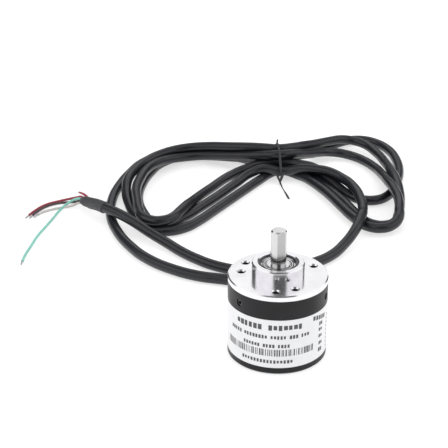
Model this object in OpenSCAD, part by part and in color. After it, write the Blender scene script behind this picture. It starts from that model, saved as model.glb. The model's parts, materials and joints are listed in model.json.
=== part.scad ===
// Incremental rotary encoder: 38 mm body, D-cut shaft pointing up, cable out of the back.
// The origin is the middle of the base, on the shaft axis. +Z points out of the shaft end.

/* [Housing] */
// Outside diameter of the cover and of the flange rim
body_d = 38; // [37.6:0.1:40]
// Height from the base to the flange face
face_h = 33; // [33:0.5:40]
// Thickness of the flange rim above the cover
rim_t = 2.1; // [1.6:0.1:3]
// Diameter of the centring boss
boss_d = 20; // [19:0.5:22]
// Height of the centring boss above the flange face
boss_h = 5; // [4:0.5:6]
// Wall of the cover
cover_wall = 1.4; // [1.2:0.1:1.5]
// Thickness of the closed end of the cover
base_t = 1.6; // [1.2:0.1:1.6]

/* [Shaft] */
// Diameter of the shaft
shaft_d = 6; // [5.8:0.1:6]
// Length of the shaft beyond the boss
shaft_out = 13; // [10:0.5:20]
// How deep the flat is cut into the shaft
flat_depth = 0.5; // [0.2:0.1:1]
// Round length left between the boss and the flat
flat_gap = 2.5; // [1:0.5:5]
// Direction that the flat faces, in degrees about Z
flat_angle = -66; // [-180:1:180]

/* [Mounting] */
// Radius of the tapped mounting holes
tap_r = 1.25; // [1:0.05:1.6]
// Pitch circle of the first three holes
pitch_a = 30; // [29:0.5:31]
// Pitch circle of the second three holes
pitch_b = 28; // [27.5:0.5:29]
// Direction of the first hole, in degrees about Z
tap_angle = -93; // [-95:1:-90]
// Depth of the mounting holes
tap_depth = 6; // [4:0.5:6]

/* [Bearings] */
// Number of balls in each bearing
ball_count = 8; // [5:1:9]
// Diameter of a ball
ball_d = 2.38; // [2:0.02:2.4]

/* [Code disc] */
// Diameter of the code disc
disc_d = 31.2; // [30:0.1:31.4]
// Number of windows in the code disc
window_count = 36; // [12:1:40]

/* [Label] */
// Height of the lower edge of the label
label_low = 2.9; // [2:0.1:4]
// Height of the label
label_h = 20.2; // [16:0.1:20.4]
// How far the label wraps around, in degrees
label_arc = 290; // [180:5:300]

/* [Cable] */
// Diameter of the cable jacket
cable_d = 4.7; // [4:0.1:5]
// Diameter of one bare-ended lead
wire_d = 1.3; // [1:0.1:1.6]
// Height of the cable outlet above the base
outlet_z = 6; // [5.8:0.1:6.2]

/* [Hidden] */

$fn = 96;
eps = 0.05;

body_r = body_d / 2;
shaft_r = shaft_d / 2;
boss_r = boss_d / 2;
boss_top = face_h + boss_h;
shaft_top = boss_top + shaft_out;
rim_low = face_h - rim_t;
cover_in_r = body_r - cover_wall;

// The flange's spigot inside the cover, and the tube that holds the bearings
spigot_r = cover_in_r - 0.1;
spigot_low = face_h - 8.5;
tube_r = 9.6;
tube_low = face_h - 13.2;
relief_r = 12.2;
relief_top = face_h - 4;
screw_z = face_h - 6.15;
screw_r = 1.4;
screw_angle = -138;
label_t = 0.1;

// Bearings of 6 x 15 x 5 mm
bearing_r = 7.5;
bearing_w = 5;
pitch_r = 5.25;
groove_r = ball_d / 2 + 0.05;
land_in_r = 4.35;
land_out_r = 6.15;
step_r = 6.45;
step_w = 0.5;

// Middle line of a pressed bearing shield as [radius, height], from its inner lip over two raised beads
shield_t = 0.1;
shield_line = [
    [land_in_r + 0.2, -0.06], [4.6, 0.08], [4.78, 0.1], [4.92, -0.12], [5.12, -0.14], [5.28, 0.14],
    [5.55, 0.16], [5.7, -0.12], [5.92, -0.14], [6.06, 0.08], [6.3, 0.08], [step_r, -0.05]
];

front_mid = boss_top - 1 - bearing_w / 2;
rear_mid = tube_low + 0.4 + bearing_w / 2;
seat_r = 6.5;
washer_t = 0.5;
retainer_t = 0.6;

// Code disc, its hub and the optics
disc_r = disc_d / 2;
disc_t = 0.6;
disc_z = 14;
hub_r = 6.5;
hub_boss_r = 5.5;
hub_flange_t = 1.6;
hub_top = 19.2;
clamp_t = 0.8;
track_r = 13.8;
track_w = 2.2;
fixing_r = 4.75;
set_screw_z = 17.8;
lamp_r = 1.5;
board_z = 9;
board_t = 1.4;
board_r = 16.4;
board_top = board_z + board_t;
post_r = 13.2;
core_x = [-1.8, -0.6, 0.6, 1.8];

// Rubber bush around the cable
neck_r = 3;
flange_r = 4.1;
grommet_in = 15.9;
grommet_out = 27;

// Turns its child about the shaft axis to each of n even places
module around(n, first = 0) {
    for (i = [0 : n - 1]) rotate([0, 0, first + i * 360 / n]) children();
}

// A ring of rectangular section
module ring(r_in, r_out, low, high) {
    translate([0, 0, low]) difference() {
        cylinder(r = r_out, h = high - low);
        translate([0, 0, -1]) cylinder(r = r_in, h = high - low + 2);
    }
}

// ---------- Housing ----------

module tapped_holes(pitch, first) {
    mouth = 0.5;
    around(3, first) translate([pitch / 2, 0, face_h]) {
        translate([0, 0, -tap_depth]) cylinder(r = tap_r, h = tap_depth + 1, $fn = 48);
        translate([0, 0, -mouth]) cylinder(r1 = tap_r, r2 = tap_r + 2 * mouth, h = 2 * mouth, $fn = 48);
    }
}

module front_flange() {
    edge = 0.4;
    color("gainsboro") difference() {
        rotate_extrude() polygon([
            [bearing_r, tube_low], [tube_r, tube_low], [tube_r, relief_top], [relief_r, relief_top],
            [relief_r, spigot_low], [spigot_r, spigot_low], [spigot_r, rim_low], [body_r, rim_low],
            [body_r, face_h - edge], [body_r - edge, face_h], [boss_r, face_h],
            [boss_r, boss_top - edge], [boss_r - edge, boss_top],
            [bearing_r + edge, boss_top], [bearing_r, boss_top - edge],
            [bearing_r, front_mid - bearing_w / 2], [seat_r, front_mid - bearing_w / 2],
            [seat_r, rear_mid + bearing_w / 2 + washer_t],
            [bearing_r, rear_mid + bearing_w / 2 + washer_t]
        ]);
        tapped_holes(pitch_a, tap_angle);
        tapped_holes(pitch_b, tap_angle + 30);
        around(3, screw_angle) translate([spigot_r - 3, 0, screw_z])
            rotate([0, 90, 0]) cylinder(r = screw_r, h = 4, $fn = 32);
        translate([0, 0, front_mid + bearing_w / 2]) cylinder(r = bearing_r + 0.4, h = retainer_t);
    }
}

module housing_cover() {
    edge = 0.7;
    color("#26272b") difference() {
        rotate_extrude() polygon([
            [0, 0], [body_r - edge, 0], [body_r, edge], [body_r, label_low - eps],
            [body_r - label_t, label_low - eps], [body_r - label_t, label_low + label_h + eps],
            [body_r, label_low + label_h + eps], [body_r, rim_low], [cover_in_r, rim_low],
            [cover_in_r, base_t], [0, base_t]
        ]);
        around(3, screw_angle) translate([cover_in_r - 1, 0, screw_z])
            rotate([0, 90, 0]) cylinder(r = screw_r + eps, h = 4, $fn = 32);
        translate([0, cover_in_r - 1, outlet_z]) rotate([-90, 0, 0]) cylinder(r = neck_r, h = 4, $fn = 48);
    }
}

module label() {
    color("white") translate([0, 0, label_low]) rotate([0, 0, 270 - label_arc / 2])
        rotate_extrude(angle = label_arc) translate([body_r - label_t, 0]) square([label_t, label_h]);
}

module cover_screws() {
    long = 3;
    color("dimgray") around(3, screw_angle) translate([body_r - 0.4 - long, 0, screw_z]) rotate([0, 90, 0])
        difference() {
            cylinder(r = screw_r - 0.02, h = long, $fn = 32);
            translate([0, 0, long - 1]) cylinder(r = 0.75, h = 2, $fn = 6);
        }
}

// ---------- Bearings ----------

module raceway(mid) {
    translate([0, 0, mid]) rotate_extrude() translate([pitch_r, 0]) circle(r = groove_r, $fn = 32);
}

module outer_ring(mid) {
    difference() {
        ring(land_out_r, bearing_r, mid - bearing_w / 2, mid + bearing_w / 2);
        raceway(mid);
        for (side = [-1, 1]) translate([0, 0, mid + side * (bearing_w - step_w) / 2])
            cylinder(r = step_r, h = step_w + eps, center = true);
    }
}

module inner_ring(mid) {
    difference() {
        ring(shaft_r, land_in_r, mid - bearing_w / 2, mid + bearing_w / 2);
        raceway(mid);
    }
}

module balls(mid) {
    around(ball_count) translate([pitch_r, 0, mid]) sphere(r = ball_d / 2, $fn = 32);
}

module cage(mid) {
    half_h = 1.5;
    difference() {
        ring(4.85, 5.65, mid - half_h, mid + half_h);
        around(ball_count) translate([pitch_r, 0, mid]) sphere(r = ball_d / 2 + 0.06, $fn = 32);
    }
}

// The shields close both sides of a bearing, with their beads facing outward
module shields(mid) {
    last = len(shield_line) - 1;
    for (side = [-1, 1]) translate([0, 0, mid + side * (bearing_w / 2 - step_w + 0.13)])
        rotate_extrude() polygon(concat(
            [for (p = shield_line) [p[0], side * p[1] + shield_t / 2]],
            [for (i = [0 : last]) [shield_line[last - i][0], side * shield_line[last - i][1] - shield_t / 2]]
        ));
}

module front_outer_ring() { color("silver") outer_ring(front_mid); }
module front_inner_ring() { color("silver") inner_ring(front_mid); }
module front_balls() { color("lightgray") balls(front_mid); }
module front_cage() { color("goldenrod") cage(front_mid); }
module front_shields() { color("lightgray") shields(front_mid); }
module rear_outer_ring() { color("silver") outer_ring(rear_mid); }
module rear_inner_ring() { color("silver") inner_ring(rear_mid); }
module rear_balls() { color("lightgray") balls(rear_mid); }
module rear_cage() { color("goldenrod") cage(rear_mid); }
module rear_shields() { color("lightgray") shields(rear_mid); }

// Snap ring in the groove above the front bearing
module bearing_retainer() {
    low = front_mid + bearing_w / 2;
    color("gray") difference() {
        ring(bearing_r - 0.8, bearing_r + 0.4, low, low + retainer_t);
        rotate([0, 0, 90]) translate([0, -1.2, low - 1]) cube([10, 2.4, 3]);
    }
}

// Spring washer that loads the rear bearing against its shoulder
module wave_washer() {
    low = rear_mid + bearing_w / 2;
    color("silver") ring(land_out_r + 0.5, bearing_r - 0.1, low, low + washer_t);
}

// ---------- Rotor ----------

module bearing_spacer() {
    color("silver") ring(shaft_r, land_in_r - 0.2, rear_mid + bearing_w / 2, front_mid - bearing_w / 2);
}

module shaft() {
    low = disc_z - clamp_t - 0.4;
    tip = 0.5;
    groove = 0.4;
    undercut = 0.3;
    color("whitesmoke") difference() {
        rotate_extrude() polygon([
            [0, low], [shaft_r - tip, low], [shaft_r, low + tip],
            [shaft_r, rear_mid - bearing_w / 2 - 0.7], [shaft_r - groove, rear_mid - bearing_w / 2 - 0.7],
            [shaft_r - groove, rear_mid - bearing_w / 2], [shaft_r, rear_mid - bearing_w / 2],
            [shaft_r, boss_top - 1], [shaft_r - undercut, boss_top - 1],
            [shaft_r - undercut, boss_top], [shaft_r, boss_top], [shaft_r, shaft_top - tip],
            [shaft_r - tip, shaft_top], [0, shaft_top]
        ]);
        rotate([0, 0, flat_angle]) translate([shaft_r - flat_depth, -shaft_d, boss_top + flat_gap])
            cube([shaft_d, 2 * shaft_d, shaft_out]);
    }
}

module shaft_circlip() {
    high = rear_mid - bearing_w / 2;
    color("gray") difference() {
        ring(shaft_r - 0.4, land_in_r - 0.1, high - 0.7, high);
        translate([0, -1, high - 1.2]) cube([8, 2, 2]);
    }
}

module disc_hub() {
    color("silver") difference() {
        union() {
            ring(shaft_r, hub_r, disc_z + disc_t, disc_z + disc_t + hub_flange_t);
            ring(shaft_r, hub_boss_r, disc_z + disc_t + hub_flange_t - eps, hub_top);
        }
        translate([0, 0, set_screw_z]) rotate([0, 90, 0]) cylinder(r = 1, h = 8, $fn = 32);
        around(3, 60) translate([fixing_r, 0, disc_z]) cylinder(r = 0.6, h = 2.5, $fn = 24);
    }
}

module hub_set_screw() {
    color("dimgray") translate([shaft_r, 0, set_screw_z]) rotate([0, 90, 0]) difference() {
        cylinder(r = 0.98, h = 2.2, $fn = 32);
        translate([0, 0, 1.4]) cylinder(r = 0.5, h = 2, $fn = 6);
    }
}

module code_disc() {
    color("lightcyan") difference() {
        ring(shaft_r + eps, disc_r, disc_z, disc_z + disc_t);
        around(window_count) translate([track_r - track_w / 2, -0.55, disc_z - 1]) cube([track_w, 1.1, 3]);
        around(3, 60) translate([fixing_r, 0, disc_z - 1]) cylinder(r = 0.65, h = 3, $fn = 24);
    }
}

module disc_clamp_ring() {
    color("silver") difference() {
        ring(shaft_r + eps, hub_r, disc_z - clamp_t, disc_z);
        around(3, 60) translate([fixing_r, 0, disc_z - 2]) cylinder(r = 0.65, h = 3, $fn = 24);
    }
}

module disc_screws() {
    color("dimgray") around(3, 60) translate([fixing_r, 0, 0]) {
        translate([0, 0, disc_z - clamp_t - 0.9]) cylinder(r = 1.1, h = 0.9, $fn = 32);
        translate([0, 0, disc_z - clamp_t - eps]) cylinder(r = 0.58, h = 3, $fn = 24);
    }
}

// ---------- Optics and electronics ----------

// Bracket around the edge of the disc: the lamp above it, the sensor and its mask below it
module optics_block() {
    wide = 6;
    color("#303030") difference() {
        translate([-17.2, -wide / 2, board_top]) cube([6.2, wide, 8.4]);
        translate([-16, -wide, disc_z - 0.7]) cube([8, 2 * wide, disc_t + 1.4]);
        translate([-track_r, 0, board_top]) cylinder(r = lamp_r, h = 9, $fn = 32);
        translate([-16, -2.2, board_top - 1]) cube([4.4, 4.4, 1 + 1.3]);
        translate([-16, -2.2, board_top + 2.5]) cube([4.4, 4.4, 1]);
    }
}

module led_emitter() {
    low = disc_z + disc_t + 0.9;
    color("ghostwhite") translate([-track_r, 0, low]) {
        cylinder(r = lamp_r, h = 3, $fn = 32);
        translate([0, 0, 3 - eps]) cylinder(r = 0.9, h = 1.2, $fn = 32);
    }
}

module reticle_mask() {
    color("silver") difference() {
        translate([-15.95, -2.15, board_top + 2.5]) cube([4.3, 4.3, 0.3]);
        for (i = [-1 : 1]) translate([-track_r - 1, i * 1.1 - 0.25, board_top + 2]) cube([2, 0.5, 1.2]);
    }
}

module photo_sensor() {
    color("#202024") translate([-15.8, -2, board_top]) cube([4, 4, 1.2]);
}

module post_places() { around(3, 30) translate([post_r, 0, 0]) children(); }

module circuit_board() {
    color("darkgreen") difference() {
        translate([0, 0, board_z]) cylinder(r = board_r, h = board_t);
        translate([-5, 14.6, board_z - 1]) cube([10, 4, 4]);
        post_places() translate([0, 0, board_z - 1]) cylinder(r = 1.05, h = 4, $fn = 24);
    }
}

module board_standoffs() {
    color("goldenrod") post_places() difference() {
        translate([0, 0, base_t]) cylinder(r = 2.2, h = board_z - base_t, $fn = 6);
        translate([0, 0, board_z - 4]) cylinder(r = 1, h = 5, $fn = 24);
    }
}

module board_screws() {
    color("silver") post_places() difference() {
        union() {
            translate([0, 0, board_top]) cylinder(r = 1.9, h = 1.2, $fn = 32);
            translate([0, 0, board_z - 3.5]) cylinder(r = 0.98, h = 3.5 + board_t + eps, $fn = 24);
        }
        translate([-1.3, -0.2, board_top + 0.6]) cube([2.6, 0.4, 1]);
    }
}

// A chip under the board: its body and two rows of legs
module chip(at, size, legs) {
    translate([at.x, at.y, board_z - size.z]) {
        translate([-size.x / 2, -size.y / 2, 0]) cube([size.x, size.y, size.z - 0.1]);
        for (side = [-1, 1]) for (i = [0 : legs - 1])
            translate([(i - (legs - 1) / 2) * 1.27, side * (size.y / 2 + 0.4), size.z / 2])
                cube([0.45, 1, size.z], center = true);
    }
}

module signal_chip() { color("#202024") chip([0, -5], [8.8, 4, 1.7], 7); }
module driver_chip() { color("#202024") chip([6.5, 2.5], [5, 4, 1.7], 4); }

module capacitors() {
    color("tan") for (p = [[-7, 3], [-7, 0], [-10, -3]])
        translate([p.x - 1, p.y - 0.6, board_z - 1.1]) cube([2, 1.2, 1.1]);
}

module resistors() {
    color("black") for (i = [0 : 5])
        translate([-7.5 + i * 3 - 0.8, -10.4, board_z - 0.6]) cube([1.6, 0.9, 0.6]);
}

module wire_connector() {
    color("ivory") difference() {
        translate([-5, 6.8, board_z - 4.4]) cube([10, 4, 4.4]);
        for (x = core_x) translate([x, 9, outlet_z]) cube([0.9, 5, 1.3], center = true);
    }
}

// The four cores inside the housing, from the cable's end to the connector
module inner_leads() {
    color("firebrick") for (x = core_x)
        translate([x, lead_route[0].y, outlet_z]) rotate([90, 0, 0]) cylinder(r = 0.35, h = 7, $fn = 16);
}

// ---------- Cable ----------

// Rubber bush: a flange on each side of the wall, then a ribbed taper around the cable
module cable_grommet() {
    rib = 1.3;
    in_face = cover_in_r - 0.5;
    out_face = body_r + eps;
    color("#1c1c1e") translate([0, 0, outlet_z]) rotate([-90, 0, 0]) difference() {
        rotate_extrude() polygon([
            [cable_d / 2 + eps, grommet_in], [flange_r, grommet_in], [flange_r, in_face],
            [neck_r, in_face], [neck_r, out_face], [flange_r, out_face], [flange_r, out_face + 1.4],
            [3.8, out_face + 1.8], [3.1, grommet_out - 0.3], [2.9, grommet_out],
            [cable_d / 2 + eps, grommet_out]
        ]);
        for (i = [0 : 2]) ring(3, 5, out_face + 2.4 + i * 1.7, out_face + 2.4 + i * 1.7 + rib / 2);
    }
}

// Route of the cable from the outlet to the tied hank
lead_route = [
    [0, 15, 6], [0, 28, 6], [-2, 36, 5], [-9, 46, 3.5], [-21, 52, 2.5], [-34, 55, 2.5], [-46, 61, 2.5],
    [-57, 70, 2.5], [-66, 82, 2.5], [-74, 98, 2.5], [-79, 115, 2.5], [-80.5, 133, 2.5], [-79, 150, 2.5],
    [-75.5, 166, 2.5]
];

// Route of the cable from the tied hank around the back of the housing to the sleeve
tail_route = [
    [36.5, 104, 6.8], [33.5, 95, 5.4], [29.5, 87.5, 3.6], [23.5, 78, 2.5], [15, 69.5, 2.5], [5, 63, 2.5],
    [-7, 60, 2.5], [-18, 61.3, 2.5], [-28, 65.4, 2.5], [-36, 71.3, 2.5], [-43, 78, 2.5], [-50, 85, 3.2],
    [-58, 92, 4.6], [-66, 99, 6.4], [-74, 106, 7.4], [-81, 112, 7.4]
];
sleeve_route = [[-81, 112, 7.4], [-85, 116, 7], [-89, 121, 5.6], [-94, 128, 4]];

// Routes of the bare-ended leads, along the floor from the sleeve
red_route = [
    [-93, 126.5, 5.4], [-95, 130, 4.8], [-98, 133, 3], [-102, 134, 1.6], [-107, 133, 0.7],
    [-112, 129, 0.7], [-116, 122, 0.7], [-119, 113, 0.7]
];
black_route = [
    [-92.5, 127, 3.8], [-95, 130, 3], [-98, 131, 1.6], [-103, 132, 0.7], [-108, 130, 0.7],
    [-112, 126, 0.7], [-115, 120, 0.7], [-117, 113, 0.7]
];
white_route = [
    [-93, 126, 3.2], [-96, 127.5, 2.6], [-99, 127, 1.4], [-104, 126, 0.7], [-109, 123, 0.7],
    [-113, 119, 0.7], [-115, 114, 0.7]
];
green_route = [
    [-93.5, 126, 4.6], [-95.5, 129, 4.2], [-98, 130, 3.4], [-101, 129, 2], [-104, 124, 0.8],
    [-106, 114, 0.7], [-108, 104, 0.7], [-110, 94, 0.7], [-111, 84, 0.7], [-112, 74, 0.7], [-112, 65, 0.7]
];
stub_route = [[-91, 127, 5.4], [-93, 130, 5.6], [-95, 133, 5.2], [-97, 136, 4.4]];

function unit(v) = v / norm(v);

// The direction of a route at its point i
function heading(p, i) = unit(p[min(i + 1, len(p) - 1)] - p[max(i - 1, 0)]);

// One ring of points around a route's point i
function hoop(p, i, r, n) =
    let (t = heading(p, i), side = unit(cross([0, 0, 1], t)), up = cross(t, side))
    [for (k = [0 : n - 1]) let (a = (k + 0.5) * 360 / n) p[i] + r * (cos(a) * side + sin(a) * up)];

// A round tube along a route, as one closed solid
module tube(p, d, n = 8) {
    last = len(p) - 1;
    polyhedron(
        points = [for (i = [0 : last]) each hoop(p, i, d / 2, n)],
        faces = concat(
            [[for (k = [0 : n - 1]) k]],
            [for (i = [0 : last - 1]) for (k = [0 : n - 1])
                [i * n + k, (i + 1) * n + k, (i + 1) * n + (k + 1) % n, i * n + (k + 1) % n]],
            [[for (k = [n - 1 : -1 : 0]) last * n + k]]
        ),
        convexity = 8
    );
}

module cable_lead() { color("#2b2b2f") tube(lead_route, cable_d); }
module cable_tail() { color("#2b2b2f") tube(tail_route, cable_d); }

// Plan of the two loops of the tied hank, and of the open space inside them
hank_outline = [
    [-3, 164], [-15, 147], [-28, 120], [-35, 109], [-42, 101], [-50, 97], [-58, 98], [-66, 104], [-72, 114],
    [-76, 127], [-77, 148], [-76, 166], [-75, 179], [-67, 190], [-57, 198], [-43, 201], [-26, 196],
    [-10, 186], [6, 184], [17, 199], [26, 212], [35, 220], [44, 222], [53, 216], [59, 205], [62, 192],
    [62, 176], [60, 158], [60, 130], [59, 120], [56, 111], [52, 105], [46, 102], [40, 104], [36, 111],
    [32, 121], [28, 131], [24, 142], [18, 153], [11, 161]
];
left_space = [
    [-25, 170], [-34, 186], [-45, 188], [-54, 182], [-60, 173], [-64, 162], [-66, 150], [-65, 136],
    [-63, 121], [-60, 111], [-57, 105], [-54, 106], [-49, 117], [-43, 136], [-35, 152]
];
right_space = [
    [18, 178], [25, 187], [32, 191], [38, 188], [42, 180], [46, 164], [49, 150], [47, 144], [43, 141],
    [40, 142], [35, 148], [30, 158], [24, 167]
];
upper_space = [
    [24, 195], [32, 198], [40, 196], [45, 189], [50, 176], [53, 186], [48, 198], [42, 207], [34, 207]
];
lower_space = [[42, 117], [46, 113], [50, 119], [53, 128], [53, 137], [44, 134], [41, 129]];
hank_h = 8;
waist_y = [165, 179];
waist_h = 19;
tie_t = 0.9;
tie_w = 1.4;

// The hank's loops lie two passes deep, and its waist is squeezed upright by the tie
module cable_hank() {
    color("#2b2b2f") difference() {
        union() {
            linear_extrude(hank_h) difference() {
                polygon(hank_outline);
                polygon(left_space);
                polygon(right_space);
                polygon(upper_space);
                polygon(lower_space);
            }
            translate([-12, waist_y[0], tie_t]) cube([24, waist_y[1] - waist_y[0], waist_h - tie_t]);
        }
        translate([-tie_w / 2, 150, -1]) cube([tie_w, 60, 1 + tie_t]);
        translate([-tie_w / 2, 150, -1]) cube([tie_w, waist_y[0] - 150, 30]);
        translate([-tie_w / 2, waist_y[1], -1]) cube([tie_w, 20, 30]);
    }
}

// A flat wire tie around the waist, its ends twisted together in front
module twist_tie() {
    color("#202022") {
        translate([-tie_w / 2, 0, 0]) difference() {
            translate([0, waist_y[0] - tie_t, 0])
                cube([tie_w, waist_y[1] - waist_y[0] + 2 * tie_t, waist_h + tie_t]);
            translate([-1, waist_y[0], tie_t])
                cube([tie_w + 2, waist_y[1] - waist_y[0], waist_h - tie_t]);
        }
        tube([[0, 164.6, 3], [0.5, 161.5, 1.8], [1.3, 157, 1], [2.6, 151, 0.8], [4.4, 142, 0.8]], 1.2);
    }
}

module heat_shrink_sleeve() { color("#333338") tube(sleeve_route, cable_d + 1); }
module lead_red() { color("#7a1f28") tube(red_route, wire_d); }
module lead_black() { color("#1d1d20") tube(black_route, wire_d); }
module lead_white() { color("#d8d8d4") tube(white_route, wire_d); }
module lead_green() { color("#8fc7b5") tube(green_route, wire_d); }
module lead_stub() { color("#c8394a") tube(stub_route, wire_d); }

front_flange();
housing_cover();
label();
cover_screws();
bearing_retainer();
wave_washer();
front_outer_ring();
front_inner_ring();
front_balls();
front_cage();
front_shields();
rear_outer_ring();
rear_inner_ring();
rear_balls();
rear_cage();
rear_shields();
bearing_spacer();
shaft();
shaft_circlip();
disc_hub();
hub_set_screw();
code_disc();
disc_clamp_ring();
disc_screws();
optics_block();
led_emitter();
reticle_mask();
photo_sensor();
circuit_board();
board_standoffs();
board_screws();
signal_chip();
driver_chip();
capacitors();
resistors();
wire_connector();
inner_leads();
cable_grommet();
cable_lead();
cable_hank();
cable_tail();
twist_tie();
heat_shrink_sleeve();
lead_red();
lead_black();
lead_white();
lead_green();
lead_stub();
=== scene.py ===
"""A rotary encoder with its cable tied in a hank, lying on a pale floor.

The housing, shaft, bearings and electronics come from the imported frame. This script adds
the cable and what is on it, the print on the label, the finishes, the light and the camera.
Lengths are in millimetres and become metres where an object is made.
"""

import json
import math

import bpy
import numpy as np
from mathutils import Matrix, Quaternion, Vector


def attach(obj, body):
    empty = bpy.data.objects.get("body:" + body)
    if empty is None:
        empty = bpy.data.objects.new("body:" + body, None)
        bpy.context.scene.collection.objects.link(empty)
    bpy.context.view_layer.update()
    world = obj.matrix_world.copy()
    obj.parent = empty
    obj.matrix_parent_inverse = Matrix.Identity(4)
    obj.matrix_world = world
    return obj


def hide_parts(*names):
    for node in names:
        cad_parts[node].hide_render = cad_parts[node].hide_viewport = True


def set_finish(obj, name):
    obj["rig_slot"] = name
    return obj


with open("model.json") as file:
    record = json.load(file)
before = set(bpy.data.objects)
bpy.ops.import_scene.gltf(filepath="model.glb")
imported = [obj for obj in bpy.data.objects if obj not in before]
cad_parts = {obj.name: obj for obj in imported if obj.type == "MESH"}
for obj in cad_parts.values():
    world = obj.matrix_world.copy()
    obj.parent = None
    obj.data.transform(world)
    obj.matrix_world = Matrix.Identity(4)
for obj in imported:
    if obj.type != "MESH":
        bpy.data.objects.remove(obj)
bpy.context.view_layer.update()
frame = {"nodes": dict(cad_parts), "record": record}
nodes = frame["nodes"]

MM = 0.001
BODY = "housing"


# ---------- Camera ----------


def make_camera():
    """Looks down at the housing from in front, with the hank behind it."""
    distance, elevation = 508.9, math.radians(30.5)
    pan, tilt, roll = (math.radians(a) for a in (2.43, 5.4, -1.5))
    forward = Vector((0, math.cos(elevation), -math.sin(elevation)))
    right = Vector((1, 0, 0))
    up = right.cross(forward)
    turn = Quaternion(up, pan)
    forward, right = turn @ forward, turn @ right
    turn = Quaternion(right, tilt)
    forward, up = turn @ forward, turn @ up
    turn = Quaternion(forward, roll)
    right, up = turn @ right, turn @ up
    data = bpy.data.cameras.new("camera")
    data.sensor_width = 36
    data.lens = 105.0
    data.clip_start, data.clip_end = 0.01, 20
    camera = bpy.data.objects.new("camera", data)
    bpy.context.scene.collection.objects.link(camera)
    place = Vector((0, -math.cos(elevation), math.sin(elevation))) * distance * MM
    axes = Matrix((right, up, -forward)).transposed()
    camera.matrix_world = Matrix.Translation(place) @ axes.to_4x4()
    bpy.context.scene.camera = camera


make_camera()


# ---------- The route of the cable ----------

CABLE_D = 4.7
CABLE_R = CABLE_D / 2
REST_Z = 2.5

# Out of the housing and up the left of the hank. A point without a height lies on the floor.
LEAD = [
    (0, 15, 6), (0, 28, 6), (-2, 36, 5), (-9, 46, 3.5), (-21, 52), (-34, 55), (-46, 61), (-57, 70),
    (-66, 82), (-74, 98), (-79, 115), (-80.5, 133), (-79, 150), (-75.5, 166),
]
# Laps of the figure of eight: from the left lobe through the tie to the right lobe, and back.
# The last one stops in the right lobe, where the tail begins.
LAP_1 = [
    (-71, 179), (-64, 188), (-55, 194), (-43, 196), (-27, 191.5), (-12, 183, 2.8), (0, 176.2, 3),
    (8, 173, 3), (15, 166), (21, 156.5), (26, 146.5), (31.5, 134), (35.5, 123.5), (40.5, 114),
    (45.5, 109), (49.5, 109), (53, 112.5), (55.5, 120, 3), (57, 130, 4), (57.3, 140, 5.5),
    (56.3, 151, 7.1), (55, 166, 6.5), (53, 182, 4.6), (49.3, 196.6, 4), (43.8, 206, 4.6),
    (37, 209.6, 5.4), (31, 207.6, 6.4), (25, 202.8, 7.2), (18.5, 195.5, 8.6), (12.5, 188, 10.4),
    (7, 181, 12.2), (0, 175.4, 13.5), (-8, 175.5, 12.8), (-16, 177, 12), (-25, 180, 11),
    (-38, 184, 10), (-50, 184, 8.8), (-60, 179, 8), (-68, 169, 7.4), (-72.5, 158, 7.1),
    (-74.5, 147, 6.5), (-74, 137, 4.5), (-71.5, 127, 3), (-67.5, 116), (-63, 106), (-57, 99.5),
]
LAP_2 = [
    (-50, 99), (-43, 103), (-37, 111), (-31, 122), (-24, 135), (-17, 148), (-11, 159),
    (-5, 168, 3), (0, 171.5, 3.2), (9, 168.5, 3.2), (15.5, 160.5, 3.4), (20.5, 149.5, 3.8),
    (25, 138.5, 4.1), (29.5, 126.5, 4.3), (34, 116, 4.3), (39, 108.5, 4.1), (45, 104, 3.8),
    (50, 105, 4), (54, 110.5, 5), (55.5, 118, 7.1), (56, 126, 8), (55, 136, 8.6), (53, 150, 7.6),
    (51, 164, 5), (48, 177, 3.4), (42.5, 187.5, 3), (36, 194, 3), (30.5, 195.5, 3.6),
    (24.5, 194, 4.6), (18.5, 188, 6.6), (12.5, 180.5, 9), (7, 174.5, 11.2), (0, 170.8, 12.2),
    (-8, 173, 11.6), (-17, 176.5, 10.2), (-26, 180, 8.4), (-37, 182.5, 6.6), (-47, 182, 5.8),
    (-56, 177.5, 6), (-62.5, 169.5, 6.8), (-66.5, 160, 7.1), (-68.5, 148, 7.1), (-69, 135, 7.1),
    (-67, 121, 7.1), (-64.5, 109, 7.1), (-60, 100.5, 7.1), (-54, 98.5, 7.1), (-49, 104, 7.1),
]
LAP_3 = [
    (-45, 114, 6.6), (-40, 131, 4.5), (-33, 149, 3), (-25, 163, 3.4), (-17, 170, 4.6),
    (-9, 172.5, 6.4), (0, 172.8, 7.7), (8, 171, 7), (17, 165.5, 5.6), (23.5, 157.5, 4.4),
    (29, 150, 3), (34, 143), (39, 138.5), (44.5, 137.5), (50, 141.5), (55, 150), (58, 162),
    (60, 176), (59.5, 191), (56.5, 204), (51, 213), (44, 217.5), (37, 217), (31, 213), (26, 207.5),
    (22, 202), (17, 195, 3.4), (12, 186.5, 6.2), (6, 181, 7.5), (0, 178, 7.9), (-8, 176.5, 7.2),
    (-17, 180, 6), (-26, 185, 4.4), (-36, 189, 3.2), (-45, 190.5), (-53, 188), (-61, 179.5),
    (-65.5, 167), (-68, 153), (-68.5, 138), (-66.5, 125), (-63, 114), (-59, 106), (-55, 103.5),
]
LAP_4 = [
    (-50, 107), (-44, 115.5), (-37, 127), (-29, 141), (-22, 153, 3), (-14, 163, 4.6),
    (-7, 165.6, 5), (0, 166.4, 5.2), (7, 166, 5.7), (12.5, 165, 6.8), (18, 162.5, 7.2),
    (25, 158, 7.2), (31, 151.5, 7.2), (35.5, 142, 7.2), (38, 129, 7.2), (38.5, 115, 7.2),
]
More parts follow.
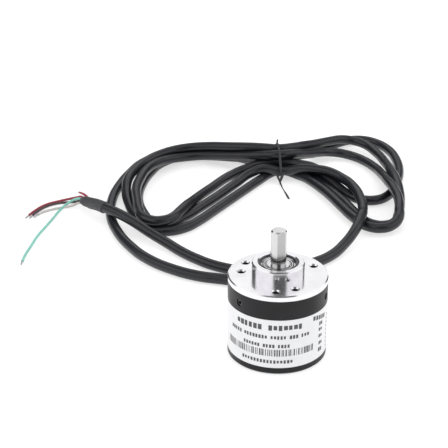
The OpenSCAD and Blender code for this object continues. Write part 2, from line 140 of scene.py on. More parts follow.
# Behind the housing, then over the lead and the hank's left shoulder to the sleeve
TAIL = [
    (36.5, 104, 6.8), (33.5, 95, 5.4), (29.5, 87.5, 3.6), (23.5, 78), (15, 69.5), (5, 63),
    (-7, 60), (-18, 61.3), (-28, 65.4), (-36, 71.3), (-43, 78), (-50, 85, 3.2), (-58, 92, 4.6),
    (-66, 99, 6.4), (-74, 106, 7.4), (-81, 112, 7.4), (-85, 116, 7),
]


def placed(route):
    """The points of a route as an array, with those that have no height on the floor."""
    return np.array([p if len(p) == 3 else (*p, REST_Z) for p in route], float)


def evenly(line, step):
    """The line again, with its points about step apart."""
    along = np.concatenate([[0], np.cumsum(np.linalg.norm(np.diff(line, axis=0), axis=1))])
    at = np.linspace(0, along[-1], round(along[-1] / step) + 1)
    return np.stack([np.interp(at, along, line[:, k]) for k in range(3)], axis=1)


def curve_through(points, step):
    """A smooth line through the points: a cubic between each two, with even handles."""
    steps = np.diff(points, axis=0)
    long = np.linalg.norm(steps, axis=1, keepdims=True)
    ways = steps / long
    turn = ways[:-1] + ways[1:]
    spans_per_handle = 2.56
    turn /= spans_per_handle * np.linalg.norm(turn, axis=1, keepdims=True)
    before, after = points.copy(), points.copy()
    before[1:-1] -= turn * long[:-1]
    after[1:-1] += turn * long[1:]
    before[-1] -= steps[-1] / 3
    after[0] += steps[0] / 3
    t = np.linspace(0, 1, 8, endpoint=False)[:, None]
    parts = [
        (1 - t) ** 3 * p + 3 * (1 - t) ** 2 * t * a + 3 * (1 - t) * t**2 * b + t**3 * q
        for p, a, b, q in zip(points[:-1], after[:-1], before[1:], points[1:])
    ]
    return evenly(np.vstack([*parts, points[-1:]]), step)


def settle(rest, step, rounds=600):
    """Moves the passes of the cable apart where they overlap, by a smooth shift along its length.

    The cable stays on the floor, its tightest bends are eased, and it hardly moves where the tie
    holds it. Its two ends don't move.
    """
    room, nearby, eased_radius = CABLE_D + 0.05, 14, 11
    fade, spread, hold, shove, relax = 0.99, 0.45, 0.6, 0.35, 0.4
    last_smoothing = rounds - 40
    most_turn = step**2 / eased_radius
    shift = np.zeros_like(rest)
    first, second = np.triu_indices(len(rest), k=5)
    tied = (np.abs(rest[:, 0]) < 4) & (rest[:, 1] > 160) & (rest[:, 1] < 182)
    for number in range(rounds):
        shift *= fade
        if number < last_smoothing:
            for _ in range(2):
                shift[1:-1] += spread * ((shift[:-2] + shift[2:]) / 2 - shift[1:-1])
        shift[tied] *= hold
        now = rest + shift
        if number % 10 == 0:
            near = ((now[first] - now[second]) ** 2).sum(1) < nearby**2
            a, b = first[near], second[near]
        apart = now[a] - now[b]
        gap = np.linalg.norm(apart, axis=1) + 1e-9
        hit = gap < room
        push = apart[hit] * (shove * (room - gap[hit]) / gap[hit])[:, None]
        np.add.at(shift, a[hit], push)
        np.add.at(shift, b[hit], -push)
        now = rest + shift
        turn = now[:-2] - 2 * now[1:-1] + now[2:]
        size = np.linalg.norm(turn, axis=1, keepdims=True) + 1e-9
        ease = relax * turn * np.clip(1 - most_turn / size, 0, None)
        shift[1:-1] += ease
        shift[:-2] -= ease / 2
        shift[2:] -= ease / 2
        shift[:, 2] = np.maximum(shift[:, 2], CABLE_R - rest[:, 2])
        shift[:6] = 0
        shift[-3:] = 0
    return rest + shift


STEP = 3.0
cable_line = settle(
    curve_through(placed(LEAD + LAP_1 + LAP_2 + LAP_3 + LAP_4 + TAIL), STEP), STEP
)


# ---------- Making meshes ----------


def linked(name, data):
    """A new object in the scene that shows the data."""
    made = bpy.data.objects.new(name, data)
    bpy.context.scene.collection.objects.link(made)
    return made


def frames_along(line):
    """At each point of the line: its direction, and two directions across it that don't twist."""
    ways = np.gradient(line, axis=0)
    ways /= np.linalg.norm(ways, axis=1, keepdims=True)
    side = np.cross(ways[0], (0, 0, 1))
    if np.linalg.norm(side) < 0.1:
        side = np.cross(ways[0], (1, 0, 0))
    sides = []
    for way in ways:
        side = side - way * (side @ way)
        side = side / np.linalg.norm(side)
        sides.append(side)
    sides = np.array(sides)
    return ways, sides, np.cross(sides, ways)


def sweep(name, line, section, corners=16):
    """A closed solid along the line. section(share) gives its half width, half height and turn."""
    _, across, over = frames_along(line)
    around = np.arange(corners) * 2 * math.pi / corners
    points = []
    for i, middle in enumerate(line):
        wide, high, turn = section(i / (len(line) - 1))
        u = across[i] * math.cos(turn) + over[i] * math.sin(turn)
        v = over[i] * math.cos(turn) - across[i] * math.sin(turn)
        points += [middle + wide * math.cos(a) * u + high * math.sin(a) * v for a in around]
    last = len(line) - 1
    faces = [
        (
            i * corners + k,
            i * corners + (k + 1) % corners,
            (i + 1) * corners + (k + 1) % corners,
            (i + 1) * corners + k,
        )
        for i in range(last)
        for k in range(corners)
    ]
    start, end = len(points), len(points) + 1
    points += [line[0], line[-1]]
    faces += [((k + 1) % corners, k, start) for k in range(corners)]
    faces += [
        (last * corners + k, last * corners + (k + 1) % corners, end) for k in range(corners)
    ]
    mesh = bpy.data.meshes.new(name)
    mesh.from_pydata([tuple(p * MM) for p in points], [], faces)
    mesh.polygons.foreach_set("use_smooth", [True] * len(faces))
    mesh.validate()
    return linked(name, mesh)


def tube(name, line, radius, corners=20):
    """A round cable or wire along the line, as a closed mesh."""
    return sweep(name, line, lambda share: (radius, radius, 0), corners)


def profile(*stations):
    """A function that reads a value between (share, value) stations."""
    at, values = zip(*stations)
    return lambda share: float(np.interp(share, at, values))


# ---------- The cable and what is on it ----------

cable_path = curve_through(cable_line, 1.0)
cable = tube("cable", cable_path, CABLE_R)

SLEEVE = [(-81, 112, 7.4), (-85, 116, 7), (-89, 121, 5.6), (-94, 128, 4)]
sleeve_half = profile(
    (0, 2.45), (0.02, 2.8), (0.06, 2.85), (0.1, 2.78), (0.5, 2.76), (0.62, 2.7), (0.66, 2.5),
    (0.7, 2.52), (0.76, 2.72), (0.88, 2.6), (0.96, 2.3), (0.99, 2.05), (1, 1.8),
)
sleeve_flat = profile((0, 1), (0.6, 1), (0.75, 0.94), (1, 0.74))


def sleeve_section(share):
    """The sleeve is shrunk on, with slight waves, and its open end is pressed a little flat."""
    half = sleeve_half(share) + 0.03 * math.sin(share * 40)
    return half, half * sleeve_flat(share), 0.15


sleeve = sweep("sleeve", curve_through(placed(SLEEVE), 0.3), sleeve_section, 28)


# Half the tie's width and thickness, its middle's height over the cable, where its front is, how
# far it leans along X for each millimetre behind that, and the lowest that it goes
TIE_HALF = (0.62, 0.26)
TIE_OFF = 0.25
TIE_FRONT, TIE_LEAN, TIE_LOWEST = 165.6, 0.18, 0.5


def tie_loop():
    """The tie's path around the bundle: the shape that a tight string takes around the passes."""
    y, x, z = cable_line[:, 1], cable_line[:, 0], cable_line[:, 2]
    through = np.flatnonzero((x[:-1] * x[1:] < 0) & (y[:-1] > 150))
    share = x[through] / (x[through] - x[through + 1])
    passes = np.stack(
        [c[through] + share * (c[through + 1] - c[through]) for c in (y, z)], axis=1
    )
    path = []
    for a in np.radians(np.arange(-170, 191, 5)):
        way = np.array([math.cos(a), math.sin(a)])
        at = passes[np.argmax(passes @ way)] + (CABLE_R + TIE_OFF) * way
        path.append((TIE_LEAN * (TIE_FRONT - at[0]), at[0], max(at[1], TIE_LOWEST)))
    return np.array(path)


tie = sweep("tie", evenly(tie_loop(), 0.5), lambda share: (*TIE_HALF, 0), 12)
STRANDS = [
    [
        (-1.9, 164.8, 5.2), (-1.5, 163.3, 4), (-0.8, 161.7, 2.7), (-0.1, 160.4, 1.6),
        (0.1, 159.2, 1.1),
    ],
    [
        (1.3, 164.8, 5.2), (1, 163.3, 3.9), (0.4, 161.7, 2.6), (-0.1, 160.4, 1.7),
        (0.2, 159.2, 1.3),
    ],
]
strands = [
    sweep(
        f"tie_strand_{n}",
        curve_through(placed(route), 0.2),
        lambda share: (0.72, 0.4, 1.2 * share),
        10,
    )
    for n, route in enumerate(STRANDS)
]
TIE_TAIL = [(0.2, 159.4, 1.3), (0.9, 156, 0.9), (2.4, 150, 0.8), (4.4, 142, 0.8)]
tie_tail = sweep(
    "tie_tail",
    curve_through(placed(TIE_TAIL), 0.25),
    lambda share: (0.42 + 0.12 * share, 0.26, 3.2 * share),
    12,
)
TIE_TIP = [(-2, 176.9, 15.6), (-1.9, 177.8, 16.6), (-1.8, 178.2, 17.3)]
tie_tip = sweep(
    "tie_tip", curve_through(placed(TIE_TIP), 0.25), lambda share: (0.5, 0.28, 0.5), 12
)

# Leads, from inside the sleeve to the end of the bare wire
LEADS = {
    "lead_red": [
        (-89, 121.5, 5.8), (-93, 126.5, 5.4), (-95, 130, 4.8), (-98, 133, 3), (-102, 134, 1.6),
        (-107, 133, 0.7), (-112, 129, 0.7), (-116, 122, 0.7), (-119, 113, 0.7),
    ],
    "lead_black": [
        (-88.7, 121.5, 4.8), (-92.5, 127, 3.8), (-95, 130, 3), (-98, 131, 1.6), (-103, 132, 0.7),
        (-108, 130, 0.7), (-112, 126, 0.7), (-115, 120, 0.7), (-117, 113, 0.7),
    ],
    "lead_white": [
        (-89.3, 121.3, 4.8), (-93, 126, 3.2), (-96, 127.5, 2.6), (-99, 127, 1.4), (-104, 126, 0.7),
        (-109, 123, 0.7), (-113, 119, 0.7), (-115, 114, 0.7),
    ],
    "lead_green": [
        (-89.3, 121.6, 5.6), (-93.5, 126, 4.6), (-95.5, 129, 4.2), (-98, 130, 3.4), (-101, 129, 2),
        (-104, 124, 0.8), (-106, 114, 0.7), (-108, 104, 0.7), (-110, 94, 0.7), (-111, 84, 0.7),
        (-112, 74, 0.7), (-112, 65, 0.7),
    ],
}
STUB = [(-89, 123.5, 5.4), (-91, 127, 5.4), (-93, 130, 5.6), (-95, 133, 5.2), (-97, 136, 4.4)]
LEAD_R = 0.6
LEAD_STEP = 0.5
BARE = 3.5


def bare_section(share):
    """The twisted strands of a bare end."""
    return 0.34 + 0.05 * math.sin(share * 60), 0.34 + 0.05 * math.cos(share * 60), share * 30


leads, paths, tips = {}, {}, {}
for lead_name, route in LEADS.items():
    line = curve_through(placed(route), LEAD_STEP)
    cut = len(line) - round(BARE / LEAD_STEP)
    paths[lead_name] = line[:cut]
    leads[lead_name] = tube(f"{lead_name}_wire", line[:cut], LEAD_R, 12)
    bare_line = evenly(line[cut - 2 :], 0.1)
    tips[lead_name] = sweep(f"{lead_name}_tip", bare_line, bare_section, 10)
stub = sweep(
    "lead_stub_wire",
    curve_through(placed(STUB), 0.4),
    lambda share: (LEAD_R * (1 - 0.25 * share**6), LEAD_R * (1 - 0.25 * share**6), 0),
    14,
)

on_cable = [sleeve, tie, *strands, tie_tail, tie_tip, stub]
cords = [cable, *on_cable, *leads.values(), *tips.values()]
for piece in cords:
    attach(piece, BODY)

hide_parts("cable_lead", "cable_hank", "cable_tail")
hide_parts("twist_tie")
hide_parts("heat_shrink_sleeve")
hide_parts("lead_stub")
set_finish(cable, "jacket_black")
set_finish(sleeve, "sleeve_grey")
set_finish(stub, "lead_red")
for piece in [tie, *strands, tie_tail, tie_tip]:
    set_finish(piece, "tie_black")

for lead_name, wire in leads.items():
    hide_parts(lead_name)
    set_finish(wire, lead_name)
    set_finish(tips[lead_name], "screw_steel")


# ---------- Print on the label ----------


def curved_block(points, faces, left, right, low, high, slope=0.0):
    """A thin raised mark on the label, between two directions in degrees and two heights."""
    inner, outer = 19.005, 19.03
    degrees_per_column = 3
    columns = max(2, math.ceil((right - left) / degrees_per_column) + 1)
    base = len(points)
    for i, a in enumerate(np.radians(np.linspace(left, right, columns))):
        rise = slope * i / (columns - 1)
        for r in (inner, outer):
            for z in (low + rise, high + rise):
                points.append((r * math.cos(a) * MM, r * math.sin(a) * MM, z * MM))
    for i in range(columns - 1):
        a, b = base + 4 * i, base + 4 * i + 4
        faces += [
            (a + 2, b + 2, b + 3, a + 3),
            (a, a + 1, b + 1, b),
            (a + 1, a + 3, b + 3, b + 1),
            (a, b, b + 2, a + 2),
        ]
    end = base + 4 * (columns - 1)
    faces += [(base, base + 2, base + 3, base + 1), (end, end + 1, end + 3, end + 2)]


def greeked_line(points, faces, rng, left, right, low, high, words, fill):
    """Stands for a line of print: a block for each letter, in words with gaps between them."""
    gap = 0.8
    pitch = (right - left) / (sum(words) + gap * (len(words) - 1))
    at = left
    for word in words:
        for _ in range(word):
            wide = pitch * fill * rng.uniform(0.85, 1.1)
            short = (high - low) * rng.choice([0, 0, 0.12])
            curved_block(points, faces, at, at + wide, low + short, high - short / 2)
            at += pitch
        at += gap * pitch


# Lines of print: left and right in degrees, low and high, the letters in each word, and how much
# of its pitch a letter fills
PRINT_LINES = [
    (-140.5, -106, 18.8, 21, [6], 0.72),
    (-99.5, -59, 18.8, 21, [7], 0.72),
    (-151, -50, 15.1, 16.6, [5, 8, 5, 3, 3], 0.66),
    (-130, -74, 11.5, 12.9, [6, 4, 4], 0.66),
    (-132, -70, 4.8, 6.2, [16], 0.66),
]
# Rows of the column beside them: low, high, and where the row starts in degrees
PRINT_ROWS = [
    (16.8, 18.4, -34), (14.5, 15.8, -34.5), (11.7, 13, -34.5), (8.6, 10, -34), (5.6, 7.4, -34.5),
]


def label_print():
    """All the print as one mesh: lines, a row of random bars, and the column at the side."""
    rng = np.random.default_rng(4)
    points, faces = [], []
    for line in PRINT_LINES:
        greeked_line(points, faces, rng, *line)
    at, bars_end = -158.5, -43
    while at < bars_end:
        bar = rng.choice([0.5, 0.9, 1.5])
        curved_block(points, faces, at, at + bar, 7.9, 10.7)
        at += bar + rng.choice([0.7, 1.1, 1.8])
    for i in range(5):
        left = -45 + i * 5
        curved_block(points, faces, left, left + 3.6, 20.2 - 0.35 * i, 22 - 0.35 * i)
    for low, high, left in PRINT_ROWS:
        curved_block(points, faces, left, left + 3, low, high)
        curved_block(points, faces, left + 3.8, left + 6.8, low, high - 0.2)
    for i in range(9):
        low = 4.5 + 1.7 * i
        curved_block(points, faces, -14, -11.5, low, low + 0.9)
    mesh = bpy.data.meshes.new("label_print")
    mesh.from_pydata(points, [], faces)
    mesh.validate()
    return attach(linked("label_print", mesh), BODY)


printed = label_print()
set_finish(printed, "moulded_black")


# ---------- Finishes ----------


class Finish:
    """A Principled material whose colour, roughness and surface vary by procedural noise."""

    def __init__(self, name, metallic=0.0, **sockets):
        self.material = bpy.data.materials.new(name)
        self.material.use_nodes = True
        self.tree = self.material.node_tree
        self.shader = self.tree.nodes["Principled BSDF"]
        self.shader.inputs["Metallic"].default_value = metallic
        for socket, value in sockets.items():
            self.shader.inputs[socket.replace("_", " ")].default_value = value
        self.place = self.node("ShaderNodeTexCoord").outputs["Object"]
        self.normal = None

    def node(self, kind, inputs=(), **settings):
        made = self.tree.nodes.new(kind)
        for key, value in settings.items():
            setattr(made, key, value)
        for key, value in dict(inputs).items():
            if isinstance(value, bpy.types.NodeSocket):
                self.tree.links.new(value, made.inputs[key])
            else:
                made.inputs[key].default_value = value
        return made

    def stretched(self, x, y, z):
        """Places in which a pattern is that many times finer along each axis."""
        return self.node("ShaderNodeMapping", {"Vector": self.place, "Scale": (x, y, z)}).outputs[0]

    def lathe(self):
        """Places that are the same all round the shaft axis: distance from it, and height."""
        split = self.node("ShaderNodeSeparateXYZ", {0: self.place}).outputs
        flat = self.node("ShaderNodeCombineXYZ", {0: split[0], 1: split[1]}).outputs[0]
        far = self.node("ShaderNodeVectorMath", {0: flat}, operation="LENGTH").outputs["Value"]
        return self.node("ShaderNodeCombineXYZ", {0: far, 2: split[2]}).outputs[0]

    def height(self):
        return self.node("ShaderNodeSeparateXYZ", {0: self.place}).outputs[2]

    def noise(self, size, place=None, detail=2.0, distortion=0.0):
        """Noise whose grains are about size millimetres."""
        inputs = {
            "Vector": place or self.place,
            "Scale": 1 / (size * MM),
            "Detail": detail,
            "Distortion": distortion,
        }
        return self.node("ShaderNodeTexNoise", inputs).outputs["Fac"]

    def mapped(self, value, low, high, start=0.3, end=0.7):
        inputs = {0: value, 1: start, 2: end, 3: low, 4: high}
        return self.node("ShaderNodeMapRange", inputs).outputs[0]

    def times(self, a, b):
        return self.node("ShaderNodeMath", {0: a, 1: b}, operation="MULTIPLY").outputs[0]

    def plus(self, a, b):
        return self.node("ShaderNodeMath", {0: a, 1: b}, operation="ADD").outputs[0]

    def mix(self, share, first, second):
        inputs = {0: share, 6: first, 7: second}
        return self.node("ShaderNodeMix", inputs, data_type="RGBA").outputs[2]

    def along(self, way):
        """How far a place lies from the origin in the direction way, in metres."""
        inputs = {0: self.place, 1: way}
        return self.node("ShaderNodeVectorMath", inputs, operation="DOT_PRODUCT").outputs["Value"]

    def turned(self):
        """Stretches highlights as turning does, around the shaft axis."""
        tangent = self.node("ShaderNodeTangent", direction_type="RADIAL", axis="Z")
        self.tree.links.new(tangent.outputs[0], self.shader.inputs["Tangent"])
        return self

    def colour(self, value):
        self.tree.links.new(value, self.shader.inputs["Base Color"])
        return self

    def rough(self, value):
        self.tree.links.new(value, self.shader.inputs["Roughness"])
        return self

    def bump(self, value, depth):
        """Raises the surface by up to depth millimetres."""
        inputs = {"Height": value, "Distance": depth * MM, "Strength": 1.0}
        if self.normal:
            inputs["Normal"] = self.normal
        self.normal = self.node("ShaderNodeBump", inputs).outputs[0]
        self.tree.links.new(self.normal, self.shader.inputs["Normal"])
        return self


def rgb(*values):
    """A colour from one grey or three channels."""
    return (*(values * 3 if len(values) == 1 else values), 1.0)


def turned_metal(name, colour, rough, mark=0.25, depth=0.002, anisotropic=0.3):
    """Metal cut on a lathe: fine rings around the shaft axis, and faint stains."""
    m = Finish(name, 1.0, Anisotropic=anisotropic)
    rings = m.noise(mark, m.lathe(), 3)
    stain = m.noise(7, detail=4)
    dark = tuple(0.9 * c for c in colour[:3])
    m.colour(m.mix(m.mapped(stain, 0, 1), colour, rgb(*dark)))
    m.rough(m.plus(m.mapped(rings, rough - 0.04, rough + 0.06), m.mapped(stain, 0, 0.03)))
    m.bump(rings, depth)
    m.turned()
    return m.material


def shaft_steel():
    """Ground steel, duller on the milled flat, which is the part nearest the axis on that side."""
    m = Finish("ground_steel", 1.0, Anisotropic=0.3)
    facing = math.radians(-66)
    way = (math.cos(facing), math.sin(facing), 0)
    out = m.along(way)
    side = m.along((-way[1], way[0], 0))
    level = m.mapped(out, 0, 1, 2.4 * MM, 2.45 * MM)
    narrow = m.node("ShaderNodeMath", {0: side}, operation="ABSOLUTE").outputs[0]
    within = m.mapped(narrow, 1, 0, 1.6 * MM, 1.64 * MM)
    above = m.mapped(m.height(), 0, 1, 40.3 * MM, 40.5 * MM)
    milled = m.times(m.times(level, within), above)
    rings = m.noise(0.3, m.lathe(), 3)
    cuts = m.noise(0.35, m.stretched(0.2, 0.2, 3), 3)
    stain = m.noise(7, detail=4)
    ground = m.mix(m.mapped(stain, 0, 1), rgb(0.68, 0.68, 0.68), rgb(0.6, 0.6, 0.6))
    cut = m.mix(m.mapped(cuts, 0, 1), rgb(0.49, 0.49, 0.49), rgb(0.41, 0.41, 0.415))
    m.colour(m.mix(milled, ground, cut))
    m.rough(m.plus(m.mapped(rings, 0.14, 0.22), m.times(milled, 0.1)))
    m.bump(rings, 0.002)
    m.turned()
    return m.material


def shield_steel():
    """Pressed bearing sheet, its grooves darkened with painted shade and some grease."""
    m = Finish("shield_steel", 1.0)
    far = m.node("ShaderNodeSeparateXYZ", {0: m.lathe()}).outputs[0]
    apart, first = 0.79 * MM, 5.02 * MM
    turn = m.times(m.plus(far, -first), 2 * math.pi / apart)
    wave = m.node("ShaderNodeMath", {0: turn}, operation="COSINE").outputs[0]
    stain = m.noise(0.8, detail=3)
    # Painted shade, partly grease: dark rings laid on at the groove radii
    groove_shade_and_grease = m.times(m.mapped(wave, 0, 1, -0.5, 0.35), m.mapped(stain, 0.82, 1))
    m.colour(m.mix(groove_shade_and_grease, rgb(0.76, 0.76, 0.77), rgb(0.07, 0.068, 0.066)))
    m.rough(m.plus(m.mapped(stain, 0.1, 0.16), m.times(groove_shade_and_grease, 0.25)))
    m.bump(m.noise(0.25, m.lathe(), 3), 0.002)
    return m.material


def ground_metal(name, colour, rough, scratch=0.4):
    """Ground or pressed metal: fine scratches one way, and dull patches."""
    m = Finish(name, 1.0)
    fine = m.noise(scratch, m.stretched(0.15, 0.15, 3), 3)
    patch = m.noise(4, detail=3)
    dark = tuple(0.86 * c for c in colour[:3])
    m.colour(m.mix(m.mapped(patch, 0, 0.7), colour, rgb(*dark)))
    m.rough(m.plus(m.mapped(fine, rough - 0.05, rough + 0.08), m.mapped(patch, 0, 0.05)))
    m.bump(fine, 0.002)
    return m.material


def plastic(name, colour, rough, grain=0.25, depth=0.006, shade=0.8, **sockets):
    """Moulded plastic or rubber: a fine grain, uneven gloss and a slight change of shade."""
    m = Finish(name, 0.0, **sockets)
    fine = m.noise(grain, detail=3)
    cloud = m.noise(9, detail=4)
    dark = tuple(shade * c for c in colour[:3])
    m.colour(m.mix(m.mapped(cloud, 0, 1), colour, rgb(*dark)))
    m.rough(m.plus(m.mapped(cloud, rough - 0.05, rough + 0.05), m.mapped(fine, 0, 0.05)))
    m.bump(fine, depth)
    return m.material


def cover_black():
    """Black anodised aluminium, with paler wear on the rims and faint turning marks."""
    m = Finish("cover_black", 0.0, Specular_IOR_Level=0.32)
    grain = m.noise(0.12, detail=3)
    rings = m.noise(0.5, m.lathe(), 2)
    cloud = m.noise(6, detail=4)
    low_rim = m.mapped(m.height(), 1, 0, 0.3 * MM, 1.0 * MM)
    top_rim = m.mapped(m.height(), 0, 1, 30.6 * MM, 30.9 * MM)
    chips = m.mapped(m.noise(0.9, detail=5), 0, 1, 0.52, 0.7)
    wear = m.times(m.plus(low_rim, top_rim), chips)
    shade = m.mix(m.mapped(cloud, 0, 1), rgb(0.006, 0.006, 0.008), rgb(0.004, 0.004, 0.005))
    m.colour(m.mix(m.times(wear, 0.6), shade, rgb(0.22)))
    m.rough(m.plus(m.mapped(cloud, 0.34, 0.42), m.mapped(rings, 0, 0.05)))
    m.bump(rings, 0.003)
    m.bump(grain, 0.003)
    return m.material


def label_film():
    """White printed film: fibres just under the surface, and slightly grey cut edges."""
    m = Finish("label_film", 0.0, Coat_Weight=0.15, Coat_Roughness=0.25)
    fibre = m.noise(0.3, m.stretched(1, 1, 4), 4)
    cloud = m.noise(8, detail=3)
    low_edge = m.mapped(m.height(), 1, 0, 2.9 * MM, 3.25 * MM)
    top_edge = m.mapped(m.height(), 0, 1, 22.8 * MM, 23.1 * MM)
    edge = m.times(m.plus(low_edge, top_edge), m.mapped(m.noise(1.5), 0.1, 0.5))
    paper = m.mix(m.mapped(cloud, 0, 1), rgb(0.72, 0.72, 0.73), rgb(0.68, 0.68, 0.695))
    m.colour(m.mix(edge, paper, rgb(0.5)))
    m.rough(m.mapped(fibre, 0.36, 0.5))
    m.bump(fibre, 0.003)
    return m.material


def board_green():
    """Circuit board: copper tracks under green lacquer, with a glass weave in the surface."""
    m = Finish("board_green", 0.0, Coat_Weight=0.4, Coat_Roughness=0.15)
    bricks = m.node(
        "ShaderNodeTexBrick",
        {
            "Vector": m.place,
            "Scale": 420.0,
            "Mortar Size": 0.03,
            "Color1": rgb(0),
            "Color2": rgb(0),
            "Mortar": rgb(1),
        },
    )
    weave = m.noise(0.5, m.stretched(1, 4, 1), 2)
    lacquer = m.mix(m.mapped(m.noise(3), 0, 1), rgb(0.02, 0.17, 0.07), rgb(0.015, 0.12, 0.05))
    m.colour(m.mix(bricks.outputs["Color"], lacquer, rgb(0.05, 0.3, 0.12)))
    m.rough(m.mapped(weave, 0.3, 0.42))
    m.bump(weave, 0.01)
    return m.material


def jacket_black():
    """Cable jacket: satin PVC with a fine skin, scuffs and a little dust."""
    m = Finish("jacket_black", 0.0, Specular_IOR_Level=0.5)
    skin = m.noise(0.35, detail=4)
    cloud = m.noise(14, detail=4)
    scuff = m.mapped(m.noise(1.4, m.stretched(1, 1, 2), 6, 0.6), 0, 1, 0.6, 0.72)
    shade = m.mix(m.mapped(cloud, 0, 1), rgb(0.01, 0.0105, 0.015), rgb(0.007, 0.0075, 0.011))
    m.colour(m.mix(m.times(scuff, 0.35), shade, rgb(0.03, 0.03, 0.034)))
    m.rough(m.plus(m.mapped(cloud, 0.28, 0.35), m.times(scuff, 0.12)))
    m.bump(skin, 0.012)
    return m.material


def ink():
    """Printed ink, slightly uneven in density."""
    m = Finish("ink", 0.0)
    m.colour(m.mix(m.mapped(m.noise(0.4, detail=3), 0, 1), rgb(0.04), rgb(0.09)))
    m.rough(m.mapped(m.noise(0.3), 0.45, 0.6))
    m.bump(m.noise(0.2), 0.002)
    return m.material


FINISHES = {
    "machined_aluminium": turned_metal("machined_aluminium", rgb(0.87, 0.86, 0.885), 0.15),
    "cover_black": cover_black(),
    "label_film": label_film(),
    "blackened_steel": ground_metal("blackened_steel", rgb(0.09, 0.09, 0.095), 0.34),
    "bearing_steel": turned_metal("bearing_steel", rgb(0.7, 0.7, 0.71), 0.14, 0.15),
    "ball_steel": ground_metal("ball_steel", rgb(0.86, 0.86, 0.87), 0.1, 0.8),
    "shield_steel": shield_steel(),
    "cage_brass": ground_metal("cage_brass", rgb(0.75, 0.56, 0.26), 0.28),
    "ground_steel": shaft_steel(),
    "hub_aluminium": turned_metal("hub_aluminium", rgb(0.82, 0.83, 0.84), 0.26),
    "disc_metal": ground_metal("disc_metal", rgb(0.55, 0.56, 0.58), 0.3),
    "board_green": board_green(),
    "screw_steel": ground_metal("screw_steel", rgb(0.62, 0.62, 0.64), 0.28),
    "moulded_black": plastic("moulded_black", rgb(0.035, 0.035, 0.038), 0.48),
    "lamp_clear": plastic("lamp_clear", rgb(0.85, 0.87, 0.92), 0.14, Transmission_Weight=0.6),
    "sensor_dark": plastic("sensor_dark", rgb(0.04, 0.035, 0.06), 0.18),
    "capacitor_tan": plastic("capacitor_tan", rgb(0.5, 0.37, 0.23), 0.42, 0.15),
    "connector_white": plastic("connector_white", rgb(0.84, 0.82, 0.76), 0.42, shade=0.93),
    "core_insulation": plastic("core_insulation", rgb(0.5, 0.06, 0.06), 0.34),
    "grommet_rubber": plastic("grommet_rubber", rgb(0.022, 0.022, 0.024), 0.6, 0.3, 0.02),
    "jacket_black": jacket_black(),
    "tie_black": plastic("tie_black", rgb(0.03, 0.03, 0.033), 0.4, 0.3, 0.01),
    "sleeve_grey": plastic("sleeve_grey", rgb(0.045, 0.045, 0.05), 0.5, 0.4, 0.02),
    "lead_red": plastic("lead_red", rgb(0.3, 0.03, 0.05), 0.36, shade=0.85),
    "lead_black": plastic("lead_black", rgb(0.06, 0.04, 0.045), 0.36),
    "lead_white": plastic("lead_white", rgb(0.46, 0.435, 0.425), 0.4, shade=0.88),
    "lead_green": plastic("lead_green", rgb(0.2, 0.5, 0.42), 0.38, shade=0.92),
}


def wear_finish(piece, material):
    """Puts a material on every face of a piece."""
    if len(piece.material_slots) == 0:
        piece.data.materials.append(material)
    for place in piece.material_slots:
        place.material = material


for row in frame["record"]["subparts"]:
    wear_finish(nodes[row["node"]], FINISHES[row["material_slot"]])
for piece in cords:
    wear_finish(piece, FINISHES[piece["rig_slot"]])
wear_finish(printed, ink())


# ---------- Floor and light ----------


def make_floor():
    """A pale floor, six metres across, that glows a little so that it shows white."""
    half = 3.0
    mesh = bpy.data.meshes.new("floor")
    corners = [(-half, -half, 0), (half, -half, 0), (half, half, 0), (-half, half, 0)]
    mesh.from_pydata(corners, [], [(0, 1, 2, 3)])
    floor = linked("floor", mesh)
    floor.location.z = -0.05 * MM
    m = Finish("floor_white")
    m.colour(m.mix(m.mapped(m.noise(60, detail=3), 0, 1), rgb(0.42), rgb(0.4)))
    m.rough(m.mapped(m.noise(20), 0.8, 0.9))
    m.shader.inputs["Specular IOR Level"].default_value = 0.1
    m.shader.inputs["Emission Color"].default_value = rgb(1.0)
    m.shader.inputs["Emission Strength"].default_value = 0.62
    wear_finish(floor, m.material)


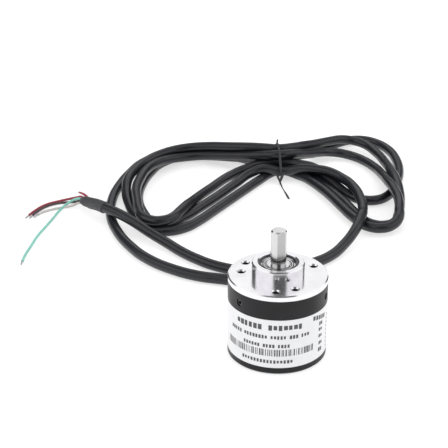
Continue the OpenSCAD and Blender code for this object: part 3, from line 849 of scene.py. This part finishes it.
def softbox(name, azimuth, elevation, distance, width, height, radiance):
    """A large soft light that faces the housing. Azimuth 0 is in front, 90 to the right."""
    a, e = math.radians(azimuth), math.radians(elevation)
    back = Vector((math.sin(a) * math.cos(e), -math.cos(a) * math.cos(e), math.sin(e)))
    data = bpy.data.lights.new(name, "AREA")
    data.shape = "RECTANGLE"
    data.size, data.size_y = width * MM, height * MM
    data.energy = radiance * math.pi * width * height * MM**2
    lamp = linked(name, data)
    aim = Vector((0, 0.02, 0.03))
    lamp.location = aim + back * distance * MM
    lamp.rotation_mode = "QUATERNION"
    lamp.rotation_quaternion = back.to_track_quat("Z", "Y")
    lamp.visible_camera = False


def make_world():
    """White to the camera, soft to matt surfaces and dim in reflections, darkest from below."""
    world = bpy.data.worlds.new("studio")
    world.use_nodes = True
    tree = world.node_tree
    background = tree.nodes["Background"]
    path = tree.nodes.new("ShaderNodeLightPath")
    place = tree.nodes.new("ShaderNodeTexCoord")
    split = tree.nodes.new("ShaderNodeSeparateXYZ")
    rise = tree.nodes.new("ShaderNodeMapRange")
    # The range of heights to map from, then the range of strengths to map to
    for i, value in ((1, -0.05), (2, 0.1), (3, 0.05), (4, 0.1)):
        rise.inputs[i].default_value = value
    strength = tree.nodes.new("ShaderNodeMix")
    strength.inputs[2].default_value = 0.85
    seen = tree.nodes.new("ShaderNodeMix")
    seen.inputs[3].default_value = 1.0
    tree.links.new(place.outputs["Generated"], split.inputs[0])
    tree.links.new(split.outputs[2], rise.inputs[0])
    tree.links.new(path.outputs["Is Glossy Ray"], strength.inputs[0])
    tree.links.new(rise.outputs[0], strength.inputs[3])
    tree.links.new(path.outputs["Is Camera Ray"], seen.inputs[0])
    tree.links.new(strength.outputs[0], seen.inputs[2])
    tree.links.new(seen.outputs[0], background.inputs["Strength"])
    background.inputs["Color"].default_value = rgb(1.0)
    bpy.context.scene.world = world


make_floor()
make_world()
softbox("light_left", -66, 34, 900, 1510, 800, 1.1)
softbox("light_right", 86, 34, 900, 1620, 800, 1.05)
softbox("light_back", 180, 36, 900, 700, 620, 1.0)
softbox("light_top", 0, 88, 900, 700, 700, 1.0)
bpy.context.scene.view_settings.view_transform = "Standard"
